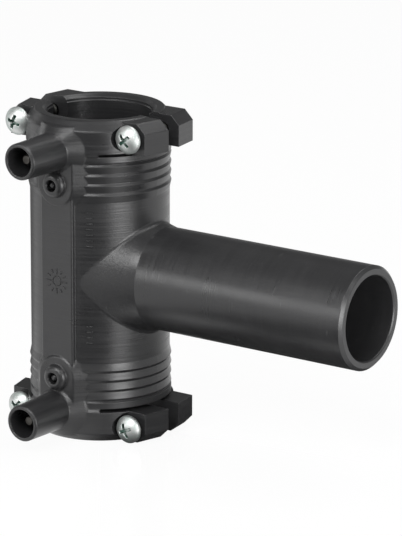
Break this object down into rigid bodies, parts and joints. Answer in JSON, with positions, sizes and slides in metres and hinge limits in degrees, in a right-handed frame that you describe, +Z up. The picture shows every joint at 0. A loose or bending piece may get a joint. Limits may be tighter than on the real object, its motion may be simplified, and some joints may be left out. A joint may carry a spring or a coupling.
{
  "type": "electrofusion tee",
  "caption": "Equal electrofusion tee for plastic pressure pipe, with two fusion sockets, screwed clamp rings and a plain spigot branch.",
  "frame": {"origin": "centre of the lower socket's mouth, where the bore's wall starts, on the run axis", "axes": "+Z up along the run, out of the upper socket; +X along the spigot branch; -Y out of the terminal shrouds"},
  "size_m": [0.16, 0.0787, 0.127],
  "materials": {
    "body": "black polyethylene, moulded satin",
    "screws": "bright zinc plated steel",
    "winding": "resistance wire with a black polyethylene coat",
    "wire": "bare copper alloy wire",
    "contacts": "tin plated brass",
    "indicators": "black polyethylene"
  },
  "bodies": {
    "root": {"tee_body": "body", "clamp_screws": "screws", "upper_coil": "winding", "lower_coil": "winding", "link_wire": "wire", "upper_terminal_pin": "contacts", "lower_terminal_pin": "contacts", "upper_indicator_pin": "indicators", "lower_indicator_pin": "indicators"}
  },
  "joints": []
}
